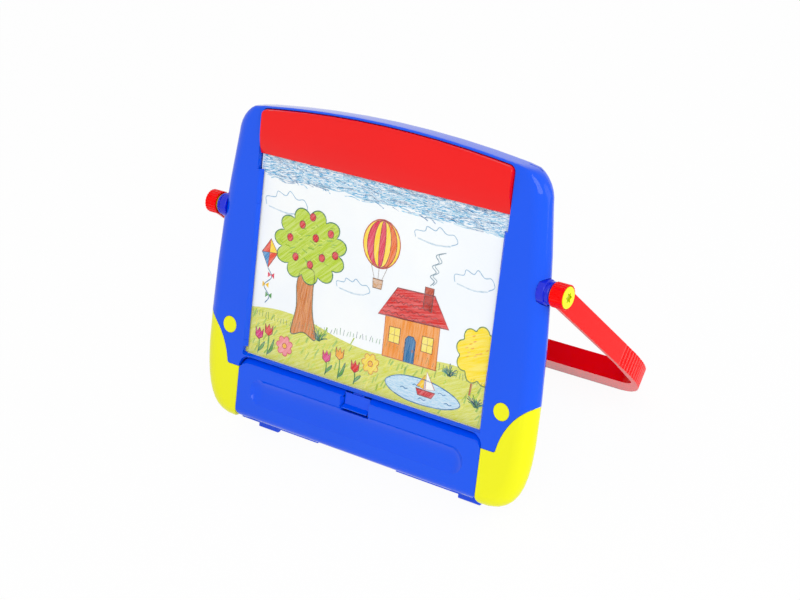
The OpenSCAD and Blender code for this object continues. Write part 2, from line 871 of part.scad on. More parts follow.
// The stand in its folded position, hanging straight down from the pivot
module folded_stand() {
    difference() {
        union() {
            translate([0, band_w / 2, 0]) rotate([90, 0, 0])
                linear_extrude(band_w) band_outline();
            both_sides() {
                rod_x(stand_half_w - band_t, stand_half_w, band_w / 2, 0, 0);
                translate([cap_in, 0, 0]) rotate([0, 90, 0])
                    linear_extrude(cap_out - cap_in) cap_section();
            }
        }
        bar_pockets();
        both_sides() {
            rod_x(flange_in, cap_out + 6, bolt_r + running, 0, 0);
            rod_x(flange_in, hub_face + 3.7, 10.2, 0, 0);
            rod_x(cap_out - 2, cap_out + 6, head_r + 0.3, 0, 0);
        }
    }
}

module stand_handle() {
    color(red)
        difference() {
            place() translate([0, pivot_d, pivot_h]) rotate([stand_open, 0, 0]) folded_stand();
            below_ground();
        }
}

// ---------- fixings ----------

module case_screws() {
    color("silver") place()
        for (s = [-1, 1], p = post_places) {
            rod_y(s * p[0], p[1], 1.35, 5, 17.2);
            rod_y(s * p[0], p[1], 3.2, 17.1, 19.2);
        }
}

module foot_screws() {
    color("silver") place()
        for (s = [-1, 1]) {
            rod_y(s * foot_fix[0], foot_fix[1], 1.45, 8, shelf_d + 2.7);
            rod_y(s * foot_fix[0], foot_fix[1], 3.2, shelf_d + 2.6, shelf_d + 4.5);
        }
}

front_frame();
rear_shell();
header_panel();
clear_window();
drawing_sheet();
backing_board();
storage_bin();
tray_door();
hinge_pin(-1);  // door_hinge_pin_left
hinge_pin(1);  // door_hinge_pin_right
door_latch();
latch_spring();
foot(-1);  // foot_left
foot(1);  // foot_right
dot_cap(-1);  // dot_cap_left
dot_cap(1);  // dot_cap_right
hub(-1);  // hub_left
hub(1);  // hub_right
friction_washer(-1);  // friction_washer_left
friction_washer(1);  // friction_washer_right
star_bolt(-1);  // star_bolt_left
star_bolt(1);  // star_bolt_right
bolt_nut(-1);  // bolt_nut_left
bolt_nut(1);  // bolt_nut_right
stand_handle();
case_screws();
foot_screws();
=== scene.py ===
import json
import math
import random

import bmesh
import bpy
from mathutils import Matrix, Vector
from mathutils.geometry import tessellate_polygon


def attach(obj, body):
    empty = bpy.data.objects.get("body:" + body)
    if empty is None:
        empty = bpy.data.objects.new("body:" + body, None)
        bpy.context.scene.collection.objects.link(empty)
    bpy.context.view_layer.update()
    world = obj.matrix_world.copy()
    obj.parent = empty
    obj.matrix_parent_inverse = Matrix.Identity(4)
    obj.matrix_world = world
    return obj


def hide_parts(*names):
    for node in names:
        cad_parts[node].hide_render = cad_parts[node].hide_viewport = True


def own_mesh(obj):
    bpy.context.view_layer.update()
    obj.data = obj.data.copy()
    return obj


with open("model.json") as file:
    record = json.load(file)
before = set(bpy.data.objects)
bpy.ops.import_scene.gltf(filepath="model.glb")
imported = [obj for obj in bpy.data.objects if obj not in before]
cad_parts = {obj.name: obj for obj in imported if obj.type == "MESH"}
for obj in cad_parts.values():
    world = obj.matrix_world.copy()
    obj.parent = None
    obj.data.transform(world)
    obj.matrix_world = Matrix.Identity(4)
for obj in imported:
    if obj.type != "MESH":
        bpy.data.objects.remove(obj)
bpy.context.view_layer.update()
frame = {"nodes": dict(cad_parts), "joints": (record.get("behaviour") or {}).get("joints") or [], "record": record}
MM = 0.001

# ---------- the board's own frame: x right, d back through its depth, v up its height ----------
joints = {j["name"]: j for j in frame["joints"]}
pivot = Vector(joints["stand_swivel"]["pos_m"])
hinge = Vector(joints["door_hinge"]["pos_m"])
PIVOT_D, PIVOT_V, HINGE_D, HINGE_V = 11.5, 222.0, 9.0, 17.0
rise = pivot - hinge
lean = math.atan2(rise.y, rise.z) - math.atan2(PIVOT_D - HINGE_D, PIVOT_V - HINGE_V)
EX = Vector((1, 0, 0))
ED = Vector((0, math.cos(lean), -math.sin(lean)))
EV = Vector((0, math.sin(lean), math.cos(lean)))
origin = pivot - ED * PIVOT_D * MM - EV * PIVOT_V * MM


def at(x, d, v):
    """World place of a point given in the board's millimetres."""
    return origin + (EX * x + ED * d + EV * v) * MM


def board_range(node, axis):
    """Lowest and highest reach of a CAD node along one board direction, in millimetres."""
    values = [(vert.co - origin).dot(axis) / MM for vert in frame["nodes"][node].data.vertices]
    return min(values), max(values)


# ---------- camera, fitted to the photograph in the board's own frame ----------
CAM_AZIMUTH, CAM_ELEVATION, CAM_ROLL = 41.63, 34.46, -10.35  # degrees
CAM_AIM, CAM_DISTANCE = Vector((107.49, 0, 231.68)), 1559.81  # millimetres
FIT_LEAN = 25.0  # the board's lean assumed in the fit, in degrees
FOCAL_PX, WIDTH_PX, SENSOR_MM = 1763.77, 800, 36


def make_camera():
    az, el, roll, tilt = (math.radians(a) for a in (CAM_AZIMUTH, CAM_ELEVATION, CAM_ROLL, FIT_LEAN))
    back = Vector((math.sin(az) * math.cos(el), -math.cos(az) * math.cos(el), math.sin(el)))
    right = Vector((math.cos(az), math.sin(az), 0))
    up = back.cross(right)
    right, up = (right * math.cos(roll) + up * math.sin(roll),
                 up * math.cos(roll) - right * math.sin(roll))
    place = CAM_AIM + back * CAM_DISTANCE
    basis = (Vector((1, 0, 0)), Vector((0, math.cos(tilt), -math.sin(tilt))),
             Vector((0, math.sin(tilt), math.cos(tilt))))

    def turned(v):
        return EX * v.dot(basis[0]) + ED * v.dot(basis[1]) + EV * v.dot(basis[2])

    data = bpy.data.cameras.new("camera")
    data.sensor_width = SENSOR_MM
    data.lens = SENSOR_MM * FOCAL_PX / WIDTH_PX
    data.clip_start, data.clip_end = 0.05, 100
    cam = bpy.data.objects.new("camera", data)
    bpy.context.scene.collection.objects.link(cam)
    rot = Matrix((turned(right), turned(up), turned(back))).transposed()
    cam.matrix_world = Matrix.Translation(origin + turned(place) * MM) @ rot.to_4x4()
    bpy.context.scene.camera = cam


make_camera()


# ---------- materials ----------
WHITE = (1, 1, 1, 1)


def lin(hexa):
    """Linear colour of an sRGB one written as RRGGBB."""
    out = []
    for i in (0, 2, 4):
        c = int(hexa[i:i + 2], 16) / 255
        out.append(c / 12.92 if c <= 0.04045 else ((c + 0.055) / 1.055) ** 2.4)
    return (*out, 1)


class Nodes:
    """Short hand for building a node tree."""

    def __init__(self, tree):
        self.t = tree
        tree.nodes.clear()

    def new(self, kind, inputs=None, **props):
        n = self.t.nodes.new(kind)
        for k, v in props.items():
            setattr(n, k, v)
        for k, v in (inputs or {}).items():
            self.put(v, n.inputs[k])
        return n

    def put(self, v, socket):
        if isinstance(v, bpy.types.NodeSocket):
            self.t.links.new(v, socket)
        else:
            socket.default_value = v

    def math(self, op, a, b=0.0):
        n = self.new("ShaderNodeMath", operation=op)
        self.put(a, n.inputs[0])
        self.put(b, n.inputs[1])
        return n.outputs[0]

    def mix(self, fac, a, b, blend="MIX"):
        n = self.new("ShaderNodeMix", data_type="RGBA", blend_type=blend)
        self.put(fac, n.inputs[0])
        self.put(a, n.inputs[6])
        self.put(b, n.inputs[7])
        return n.outputs[2]

    def ramp(self, value, lo, hi, out_lo=0.0, out_hi=1.0):
        n = self.new("ShaderNodeMapRange", {"Value": value, "From Min": lo, "From Max": hi,
                                            "To Min": out_lo, "To Max": out_hi},
                     interpolation_type="SMOOTHSTEP")
        return n.outputs[0]

    def noise(self, vector, scale, detail=3.0, rough=0.5):
        return self.new("ShaderNodeTexNoise", {"Vector": vector, "Scale": scale, "Detail": detail,
                                               "Roughness": rough}).outputs[0]

    def bump(self, height, strength, distance, **normal):
        return self.new("ShaderNodeBump", {"Height": height, "Strength": strength,
                                           "Distance": distance, **normal}).outputs[0]

    def place(self):
        return self.new("ShaderNodeTexCoord").outputs["Object"]

    def background_rays(self):
        """1 for the rays that see the white background, 0 for the others."""
        path = self.new("ShaderNodeLightPath").outputs
        seen = self.math("MAXIMUM", path["Is Camera Ray"], path["Is Glossy Ray"])
        return self.math("MAXIMUM", seen, path["Is Transmission Ray"])


def new_material(name):
    mat = bpy.data.materials.new(name)
    mat.use_nodes = True
    return mat, Nodes(mat.node_tree)


def principled(mat, n, inputs):
    shader = n.new("ShaderNodeBsdfPrincipled", inputs)
    n.new("ShaderNodeOutputMaterial", {"Surface": shader.outputs[0]})
    return mat


SHADE_PAINT_REACH, SHADE_PAINTED_IN_CREASES = 0.0022, 0.5  # painted shade in creases: how far it darkens the colour, and how much
FINE_BUMP, SKIN_BUMP = (0.018, 0.0004), (0.012, 0.002)  # strength, height in metres


def plastic(name, colour, rough=0.05, edge=0.35, depth=0.94, transmission=0.0, ior=1.5, gloss=0.3,
            recolour=None):
    """Glossy moulded plastic: faint flow marks, a fine skin, painted shade in the creases and softened edges."""
    mat, n = new_material(name)
    where = n.place()
    flow = n.noise(where, 9.0, 2.0)
    fine = n.noise(where, 1400.0, 2.0)
    skin = n.noise(where, 140.0, 2.0)
    dark = tuple(c * depth for c in lin(colour)[:3]) + (1,)
    tint = n.mix(n.ramp(flow, 0.35, 0.65), dark, lin(colour))
    # painted shade: ambient occlusion darkens the colour in creases, recesses and between parts
    crease_occlusion = n.new("ShaderNodeAmbientOcclusion", {"Distance": SHADE_PAINT_REACH}, samples=6).outputs["AO"]
    shade = n.ramp(crease_occlusion, 0.1, 0.75, SHADE_PAINTED_IN_CREASES, 1.0)
    grey = n.new("ShaderNodeCombineColor", {0: shade, 1: shade, 2: shade}).outputs[0]
    tint = n.mix(1.0, tint, grey, "MULTIPLY")
    if recolour:
        tint = recolour(n, where, tint)
    roughness = n.ramp(n.noise(where, 60.0, 4.0), 0.4, 0.75, rough * 0.8, rough * 1.25)
    bevel = n.new("ShaderNodeBevel", {"Radius": edge * MM}, samples=4).outputs[0]
    bump = n.bump(fine, *FINE_BUMP, Normal=bevel)
    bump = n.bump(skin, *SKIN_BUMP, Normal=bump)
    return principled(mat, n, {"Base Color": tint, "Roughness": roughness, "Normal": bump, "IOR": ior,
                               "Specular IOR Level": gloss, "Transmission Weight": transmission})


def paper_material():
    mat, n = new_material("paper")
    where = n.place()
    tooth = n.noise(where, 900.0, 4.0)
    cloud = n.noise(where, 14.0, 2.0)
    tint = n.mix(n.ramp(cloud, 0.3, 0.7), lin("F6FBFF"), lin("FCFFFF"))
    return principled(mat, n, {"Base Color": tint, "Roughness": 0.85, "Specular IOR Level": 0.2,
                               "Normal": n.bump(tooth, 0.1, 0.0002)})


def ink_material():
    """Felt pen and crayon: each shape carries its colour and its streak direction."""
    mat, n = new_material("ink")
    colour = n.new("ShaderNodeAttribute", attribute_name="ink").outputs[0]
    crayon = n.new("ShaderNodeAttribute", attribute_name="crayon").outputs["Fac"]
    uv = n.new("ShaderNodeUVMap", uv_map="streak").outputs[0]
    stretch = n.new("ShaderNodeMapping", {"Vector": uv, "Scale": (0.035, 0.5, 1)}).outputs[0]
    streak = n.noise(stretch, 1.0, 4.0, 0.6)
    scribble = n.new("ShaderNodeMapping", {"Vector": uv, "Scale": (0.16, 1.0, 1)}).outputs[0]
    wax = n.noise(scribble, 0.9, 5.0, 0.7)
    tooth = n.noise(uv, 1.3, 3.0, 0.7)
    felt = n.mix(n.ramp(streak, 0.35, 0.68), n.mix(0.35, colour, colour, "MULTIPLY"),
                 n.mix(0.16, colour, WHITE))
    cover = n.math("ADD", n.math("MULTIPLY", wax, 0.7), n.math("MULTIPLY", tooth, 0.3))
    waxy = n.mix(n.ramp(cover, 0.44, 0.53), colour, lin("F2F8FC"))
    return principled(mat, n, {"Base Color": n.mix(crayon, felt, waxy), "Roughness": 0.75,
                               "Specular IOR Level": 0.25})


def window_material():
    mat, n = new_material("clear_plastic")
    clear = n.new("ShaderNodeBsdfTransparent", {"Color": WHITE})
    swirl = n.bump(n.noise(n.place(), 8.0, 2.0), 0.02, 0.01)
    gloss = n.new("ShaderNodeBsdfAnisotropic", {"Color": WHITE, "Roughness": 0.03, "Normal": swirl})
    path = n.new("ShaderNodeLightPath").outputs
    soft = n.math("MAXIMUM", path["Is Shadow Ray"], path["Is Diffuse Ray"])
    seen = n.math("MULTIPLY", n.new("ShaderNodeFresnel", {"IOR": 1.18}).outputs[0],
                  n.math("SUBTRACT", 1.0, soft))
    both = n.new("ShaderNodeMixShader", {0: seen, 1: clear.outputs[0], 2: gloss.outputs[0]})
    n.new("ShaderNodeOutputMaterial", {"Surface": both.outputs[0]})
    return mat


def steel_material():
    mat, n = new_material("steel")
    grain = n.noise(n.place(), 700.0, 3.0)
    tint = n.mix(n.ramp(grain, 0.3, 0.7), lin("A9ABB0"), lin("C9CBD0"))
    return principled(mat, n, {"Base Color": tint, "Roughness": 0.32, "Metallic": 1.0,
                               "Normal": n.bump(grain, 0.1, 0.0002)})


def painted_star_shade(n, where, tint):
    """The star set into the bolt heads gets painted shade: its floor is coloured a deeper yellow."""
    x = n.math("ABSOLUTE", n.new("ShaderNodeSeparateXYZ", {0: where}).outputs[0])
    top = max(abs(v.co.x) for v in frame["nodes"]["star_bolt_right"].data.vertices)
    # painted shade: below the head's top face the yellow turns deeper
    recess_shade_mask = n.ramp(x, top - 0.0006, top - 0.0003, 1.0, 0.0)
    return n.mix(recess_shade_mask, tint, lin("BFC800"))


MATS = {
    "blue_plastic": plastic("blue_plastic", "0056F3", depth=0.97),
    "red_plastic": plastic("red_plastic", "F50000", depth=0.97),
    "stand_plastic": plastic("stand_plastic", "FF0000", rough=0.12, edge=0.12, depth=0.97, ior=1.3,
                             gloss=0.22),
    "yellow_plastic": plastic("yellow_plastic", "F3F300", depth=0.985),
    "hub_plastic": plastic("hub_plastic", "1028F4", rough=0.06, transmission=0.25),
    # the washer's darker, olive-leaning yellow is painted shade: a yellow part darkened for the shadow it sits in
    # between cap and hub
    "washer_plastic": plastic("washer_plastic", "D8C400", rough=0.35),
    "clear_plastic": window_material(),
    "paper": paper_material(),
    "grey_plastic": plastic("grey_plastic", "C9CCD2", rough=0.4),
    "steel": steel_material(),
}
# the bolt heads carry painted shade in their star recess
STAR = plastic("star_yellow", "FFFF00", depth=0.985, recolour=painted_star_shade)
SLOT_OF = {s["node"]: s["material_slot"] for s in frame["record"]["subparts"]}
BODY_OF = {n: b for b, ns in frame["record"]["behaviour"]["bodies"].items() for n in ns}


# ---------- smooth bodies in place of the faceted CAD shells ----------
SHARP_ANGLE = math.radians(26)
RIB_PITCH, RIB_DEPTH, RIB_CUTS = 0.0072, 0.0006, 6  # spacing, groove depth, cuts to a rib
RIBBED_LENGTH, RIBBED_WIDTH = 0.116, 0.030  # the ribbed zone, in from the stand's far end and sides


def stand_lie():
    """The stand's direction from its pivot, its half width and its reach."""
    verts = [v.co for v in frame["nodes"]["stand_handle"].data.vertices]
    root = Vector((0, pivot.y, pivot.z))
    arms = [Vector((0, v.y, v.z)) - root for v in verts]
    way = sum((a.normalized() for a in arms if a.length > 0.2), Vector()).normalized()
    far = max((v - pivot).dot(way) for v in verts)
    return way, max(abs(v.x) for v in verts if (v - pivot).dot(way) > far * 0.5), far


def cut_ribs(bm):
    """Grooves between the fine ribs across the outer face of the stand's bends."""
    way, half, far = stand_lie()
    start = far - RIBBED_LENGTH
    step = RIB_PITCH / RIB_CUTS
    for k in range(int(RIBBED_LENGTH / step)):
        bmesh.ops.bisect_plane(bm, geom=bm.verts[:] + bm.edges[:] + bm.faces[:], dist=1e-7,
                               plane_co=pivot + way * (start + k * step), plane_no=way)
    bm.normal_update()
    moves = []
    for v in bm.verts:
        along = (v.co - pivot).dot(way) - start
        side = math.copysign(1, v.co.x)
        faces_out = [f for f in v.link_faces if f.normal.x * side > 0.3]
        if along > 0 and abs(v.co.x) > half - RIBBED_WIDTH and faces_out:
            out = max(faces_out, key=lambda f: f.normal.x * side).normal
            moves.append((v, -out * RIB_DEPTH * (0.5 - 0.5 * math.cos(2 * math.pi * along / RIB_PITCH))))
    for v, move in moves:
        v.co += move


def smooth_copy(node):
    mesh = frame["nodes"][node].data.copy()
    bm = bmesh.new()
    bm.from_mesh(mesh)
    bmesh.ops.remove_doubles(bm, verts=bm.verts, dist=2e-6)
    bmesh.ops.dissolve_degenerate(bm, edges=bm.edges, dist=1e-6)
    if node == "stand_handle":
        cut_ribs(bm)
    for f in bm.faces:
        f.smooth = True
    for e in bm.edges:
        e.smooth = len(e.link_faces) == 2 and e.calc_face_angle(0) < SHARP_ANGLE
    bm.to_mesh(mesh)
    bm.free()
    obj = bpy.data.objects.new(node + ".skin", mesh)
    bpy.context.scene.collection.objects.link(obj)
    wn = obj.modifiers.new("weighted", "WEIGHTED_NORMAL")
    wn.keep_sharp = True
    wn.weight = 60
    mesh.materials.clear()
    mesh.materials.append(MATS[SLOT_OF[node]])
    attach(obj, BODY_OF[node])
    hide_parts(node)
    return obj


for name, obj in frame["nodes"].items():
    obj.data.materials.clear()
    obj.data.materials.append(STAR if name.startswith("star_bolt") else MATS[SLOT_OF[name]])
skins = {name: smooth_copy(name) for name in (
    "front_frame", "rear_shell", "header_panel", "foot_left", "foot_right", "tray_door", "latch_spring",
    "stand_handle")}

# the spring's skin gets a mesh of its own
spring = skins["latch_spring"]
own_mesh(spring)


# ---------- the drawing on the sheet ----------
SHEET_SIDE, SHEET_LOW, SHEET_TOP = 147.5, 77.4, 286  # what the window shows of the sheet, in millimetres


class Drawing:
    """Flat felt pen and crayon shapes, laid over each other just in front of the sheet."""

    def __init__(self, seed, front, step):
        self.rnd = random.Random(seed)
        self.front, self.step, self.layer = front, step, 0
        self.verts, self.faces, self.ink, self.crayon, self.uv = [], [], [], [], []

    def under(self):
        self.layer += 1

    def _add(self, pts, tris, colour, crayon, angle):
        base = len(self.verts)
        d = self.front - self.step * (self.layer + 1)
        c, s = math.cos(angle), math.sin(angle)
        shift = self.rnd.uniform(0, 300)
        for x, v in pts:
            self.verts.append(at(max(-SHEET_SIDE, min(SHEET_SIDE, x)), d, max(SHEET_LOW, min(SHEET_TOP, v))))
            self.uv.append((x * c + v * s + shift, v * c - x * s + shift))
        for t in tris:
            self.faces.append([base + i for i in t])
        self.ink += [lin(colour)] * len(pts)
        self.crayon += [crayon] * len(pts)

    def wobble(self, pts, amount):
        return [(x + self.rnd.uniform(-amount, amount), v + self.rnd.uniform(-amount, amount))
                for x, v in pts]

    def fill(self, pts, colour, crayon=0.0, angle=0.9):
        tris = tessellate_polygon([[Vector((x, v, 0)) for x, v in pts]])
        self._add(pts, tris, colour, crayon, angle)

    def line(self, pts, colour, width=0.9, crayon=0.0, closed=False):
        if closed:
            pts = pts + pts[:1]
        left, right = [], []
        for i, (x, v) in enumerate(pts):
            a = pts[max(0, i - 1)]
            b = pts[min(len(pts) - 1, i + 1)]
            if closed and i in (0, len(pts) - 1):
                a, b = pts[-2], pts[1]
            dx, dv = b[0] - a[0], b[1] - a[1]
            size = math.hypot(dx, dv) or 1
            w = width * 0.62 * self.rnd.uniform(0.8, 1.15)
            if not closed and i in (0, len(pts) - 1):
                w *= 0.55
            left.append((x - dv / size * w, v + dx / size * w))
            right.append((x + dv / size * w, v - dx / size * w))
        n = len(left)
        tris = []
        for i in range(n - 1):
            tris += [(i, n + i, i + 1), (i + 1, n + i, n + i + 1)]
        ang = math.atan2(pts[-1][1] - pts[0][1], pts[-1][0] - pts[0][0])
        self._add(left + right, tris, colour, crayon, ang)

    def shape(self, pts, colour, edge, width=0.9, crayon=0.0, angle=0.9):
        self.fill(pts, colour, crayon, angle)
        self.under()
        self.line(pts, edge, width, closed=True)
        self.layer -= 1

    def finish(self, name):
        mesh = bpy.data.meshes.new(name)
        mesh.from_pydata(self.verts, [], self.faces)
        mesh.attributes.new("ink", "FLOAT_COLOR", "POINT")
        mesh.attributes.new("crayon", "FLOAT", "POINT")
        ink, wax = mesh.attributes["ink"], mesh.attributes["crayon"]
        for i in range(len(self.verts)):
            ink.data[i].color = self.ink[i]
            wax.data[i].value = self.crayon[i]
        uv = mesh.uv_layers.new(name="streak")
        for loop in mesh.loops:
            uv.data[loop.index].uv = self.uv[loop.vertex_index]
        obj = bpy.data.objects.new(name, mesh)
        bpy.context.scene.collection.objects.link(obj)
        mesh.materials.append(ink_material())
        obj.visible_shadow = False  # ink has no thickness of its own
        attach(obj, "board")


def curve(pts, per, closed=False):
    """Points along a smooth curve through the given ones."""
    n = len(pts)
    out = []
    for i in range(n if closed else n - 1):
        p = [pts[(i + k) % n] if closed else pts[max(0, min(n - 1, i + k))] for k in (-1, 0, 1, 2)]
        for j in range(per):
            t = j / per
            w = (-t + 2 * t * t - t ** 3, 2 - 5 * t * t + 3 * t ** 3, t + 4 * t * t - 3 * t ** 3,
                 t ** 3 - t * t)
            out.append(tuple(sum(w[k] * p[k][a] for k in range(4)) / 2 for a in (0, 1)))
    return out if closed else out + [pts[-1]]


def puff(x, v, rx, rv, lobes, depth, turn, n):
    """Scalloped outline, as a child draws a tree crown or a flower."""
    out = []
    for i in range(n):
        a = 2 * math.pi * i / n
        r = 1 - depth + depth * abs(math.sin(lobes * a / 2 + turn)) ** 0.7 * 1.4
        out.append((x + rx * r * math.cos(a), v + rv * r * math.sin(a)))
    return out


def ring(x, v, rx, rv, n):
    turns = [2 * math.pi * i / n for i in range(n)]
    return [(x + rx * math.cos(a), v + rv * math.sin(a)) for a in turns]


LAYER_STEP = 0.03  # between layers of ink, in millimetres
TEAL, LEAF, LIME, GOLD = "0A5F70", "3C9A3A", "C6DC30", "FAD200"


def draw():
    sheet_front = board_range("drawing_sheet", ED)[0]
    glass_back = board_range("clear_window", ED)[1]
    g = Drawing(7, sheet_front, min(LAYER_STEP, (sheet_front - glass_back) / 9))
    rnd = g.rnd

    # sky: a strip of scribbled crayon along the top
    top = [(-148, 286), (148, 286)]
    low = curve([(148, 262), (110, 266), (70, 263), (30, 267), (-15, 264), (-60, 268), (-105, 264),
                 (-148, 267)], 6)
    g.fill(top + low, "2AA4D8", 1.0, 0.05)
    g.under()
    for i in range(230):
        x = rnd.uniform(-146, 132)
        v = rnd.uniform(262, 285)
        w = rnd.uniform(8, 26)
        g.line(curve([(x, v), (x + w / 2, v + rnd.uniform(-2, 2)), (x + w, v + rnd.uniform(-3.5, 2))], 4),
               rnd.choice(("0A84BC", "3CB0DA", "1072AA", "74C8E8")), rnd.uniform(0.5, 1.1), 0.75)

    # clouds in thin pale outline
    for cx, cv, w, h in ((-112, 240, 26, 9), (70, 246, 24, 7), (118, 214, 22, 8), (-20, 176, 20, 6)):
        puffs = [(cx - w, cv - h * 0.6), (cx - w * 1.05, cv + h * 0.3), (cx - w * 0.6, cv + h * 0.5),
                 (cx - w * 0.5, cv + h * 1.2), (cx - w * 0.1, cv + h * 0.9), (cx + w * 0.1, cv + h * 1.5),
                 (cx + w * 0.45, cv + h * 0.8), (cx + w * 0.8, cv + h * 0.9), (cx + w, cv),
                 (cx + w * 0.7, cv - h * 0.6)]
        g.line(curve(puffs, 6), "9CC3DC", 0.7)
        shade = [(cx - w * 0.9, cv - h * 0.7), (cx, cv - h), (cx + w * 0.7, cv - h * 0.7)]
        g.line(curve(shade, 6), "B4D0E2", 1.2, 0.6)

    # meadow
    hill = curve([(-148, 126), (-110, 131), (-70, 129), (-30, 121), (10, 118), (55, 124), (100, 130),
                  (148, 127)], 8)
    g.fill(hill + [(148, 77), (-148, 77)], "DCDF38", 0.15, 0.5)
    g.under()
    for i in range(150):
        x, v = rnd.uniform(-144, 144), rnd.uniform(79, 120)
        g.line([(x, v), (x + rnd.uniform(1, 5), v + rnd.uniform(4, 9))],
               rnd.choice((LIME, "B2CC22", "ECE85A", "9CC62A")), rnd.uniform(1.6, 3.2), 0.1)
    g.under()
    for x in range(-146, 147, 4):
        base = 124 + 5 * math.sin(x / 38 + 1.2)
        g.line([(x, base - 1), (x + rnd.uniform(-1, 2), base + rnd.uniform(3, 6.5))],
               rnd.choice((TEAL, LEAF)), 0.7)

    # pond with a paper boat
    pond = curve([(30, 96), (48, 105), (80, 107), (108, 101), (118, 92), (98, 84), (62, 82), (38, 87)],
                 7, True)
    g.shape(pond, "A9D6EE", "2F7FB4", 0.8, 0.55, 0.0)
    g.under()
    for x, v in ((48, 93), (62, 99), (92, 98), (100, 90), (70, 87)):
        g.line(curve([(x, v), (x + 3, v + 1.2), (x + 6, v), (x + 9, v + 1)], 4), "3E8CC0", 0.7)
    hull = [(66, 97), (69, 91), (85, 91), (89, 97)]
    g.shape(hull, "D8323C", "7A1E2A", 0.8)
    g.shape([(77, 98), (77, 116), (88, 100)], "FBFBF6", "C2452E", 0.8)
    g.shape([(75.4, 98), (75.4, 112), (67, 99.5)], GOLD, "C2452E", 0.8)
    g.layer -= 1

    # apple tree on the left
    trunk = curve([(-92, 112), (-88, 140), (-90, 165), (-84, 180), (-70, 180), (-69, 160), (-67, 138),
                   (-60, 112), (-76, 116)], 6, True)
    g.shape(trunk, "DC8A3C", "5E6B4A", 0.9, 0.0, 1.45)
    g.under()
    for i in range(16):
        x = rnd.uniform(-86, -70)
        v = rnd.uniform(118, 160)
        g.line([(x, v), (x + rnd.uniform(-1, 1), v + rnd.uniform(8, 18))],
               rnd.choice(("B9682A", "E9A85C")), 0.8)
    crown = puff(-78, 204, 43, 36, 11, 0.16, 0.3, 110)
    g.shape(crown, "C4DC32", "0F7A5C", 0.9, 0.0, 0.7)
    g.under()
    for i in range(46):
        x, v = -78 + rnd.gauss(0, 17), 204 + rnd.gauss(0, 14)
        g.line([(x, v), (x + rnd.uniform(3, 8), v + rnd.uniform(-3, 3))],
               rnd.choice(("AACC20", "DAE85A", "8FC030")), 1.6)
    g.under()
    for x, v in ((-104, 208), (-90, 224), (-72, 214), (-54, 222), (-95, 190), (-62, 196), (-46, 202),
                 (-78, 234), (-76, 186)):
        g.shape(ring(x, v, 3.7, 3.9, 16), "E0262E", "8E1A2C", 0.6)
        g.line([(x, v + 3.6), (x + 1, v + 6.4)], "5E6B4A", 0.6)
    g.layer -= 3

    # house on the right
    wall = g.wobble([(22, 118), (22, 160), (86, 163), (87, 120)], 0.6)
    g.shape(wall, "F4A23C", "B5481E", 0.9, 0.0, 1.5)
    g.under()
    g.shape([(64, 176), (64, 197), (74, 197), (74, 174)], "C8552E", "7A2E20", 0.8)
    g.shape(g.wobble([(13, 158), (32, 188), (76, 190), (96, 162)], 0.5), "E2312C", "8E1A2C", 0.9, 0.0, 0.2)
    g.under()
    for k in range(4):
        v = 164 + 6.2 * k
        a, b = 17 + 4.1 * k, 91 - 4.3 * k
        xs = [a + (b - a) * i / 9 for i in range(10)]
        pts = []
        for i in range(9):
            pts += [(xs[i], v), ((xs[i] + xs[i + 1]) / 2, v - 2.6)]
        g.line(curve(pts, 3), "9C1D26", 0.6)
    g.shape([(48, 118.6), (48, 141), (51, 145), (57, 145), (60, 141), (60, 119)], "2F7FB4", "1E4F78",
            0.8, 0.0, 1.5)
    g.shape(ring(57.4, 131, 1.1, 1.1, 10), GOLD, "B5481E", 0.4)
    for x in (28, 67):
        g.shape([(x, 134), (x, 149), (x + 13, 149.6), (x + 13, 134)], "FBEA6A", "8E3A1E", 0.8)
        g.under()
        g.line([(x + 6.5, 134), (x + 6.5, 149.3)], "8E3A1E", 0.6)
        g.line([(x, 141.6), (x + 13, 141.8)], "8E3A1E", 0.6)
        g.layer -= 1
    smoke = [(69, 199), (73, 204), (68, 208), (74, 213), (69, 218), (76, 223), (72, 229), (80, 233)]
    g.line(curve(smoke, 6), "8FA9B8", 0.8)
    g.line(curve([(x + 3, v + 1) for x, v in smoke], 6), "A9BEC9", 0.7)
    g.layer -= 2

    # round golden bush at the right edge
    bush = [(min(x, SHEET_SIDE), v) for x, v in puff(134, 146, 26, 27, 9, 0.16, 0.8, 90)]
    g.shape(bush, "FFE81A", "5E8B3A", 0.9, 0.0, 0.4)
    g.under()
    for i in range(12):
        x, v = rnd.uniform(116, 144), rnd.uniform(128, 164)
        g.line([(x, v), (x + 3, v + 1.4)], rnd.choice(("F2A51C", "F6C21C")), 1.3)
    g.line([(128, 118), (127, 106)], "B9682A", 3.2)
    g.layer -= 1

    # striped balloon in the sky
    bx, bv, r = 8, 226, 22
    g.shape(ring(bx, bv, r, r * 1.08, 48), "FFE23A", "C2452E", 0.9, 0.0, 1.3)
    g.under()
    for a, b in ((-0.78, -0.42), (-0.12, 0.2), (0.5, 0.82)):
        stripe = []
        for k in range(17):
            t = -1 + k / 8
            s = math.sqrt(max(0, 1 - t * t))
            stripe.append((bx + r * s * a, bv + r * 1.08 * t))
        for k in range(16, -1, -1):
            t = -1 + k / 8
            s = math.sqrt(max(0, 1 - t * t))
            stripe.append((bx + r * s * b, bv + r * 1.08 * t))
        g.shape(stripe, "E63A5E" if a < 0.4 else "F07A2A", "A82240", 0.6, 0.0, 1.3)
    for x0, x1 in ((-10, -4.5), (10, 4.5), (0, 0)):
        g.line([(bx + x0, bv - r * 0.95 - (2 if x0 == 0 else 0)), (bx + x1, 191)], "7A5A3A", 0.6)
    basket = [(bx - 6, 191), (bx - 5, 182), (bx + 5, 182), (bx + 6, 191)]
    g.shape(basket, "D89A4A", "7A4A22", 0.8, 0.4, 0.0)
    g.layer -= 1

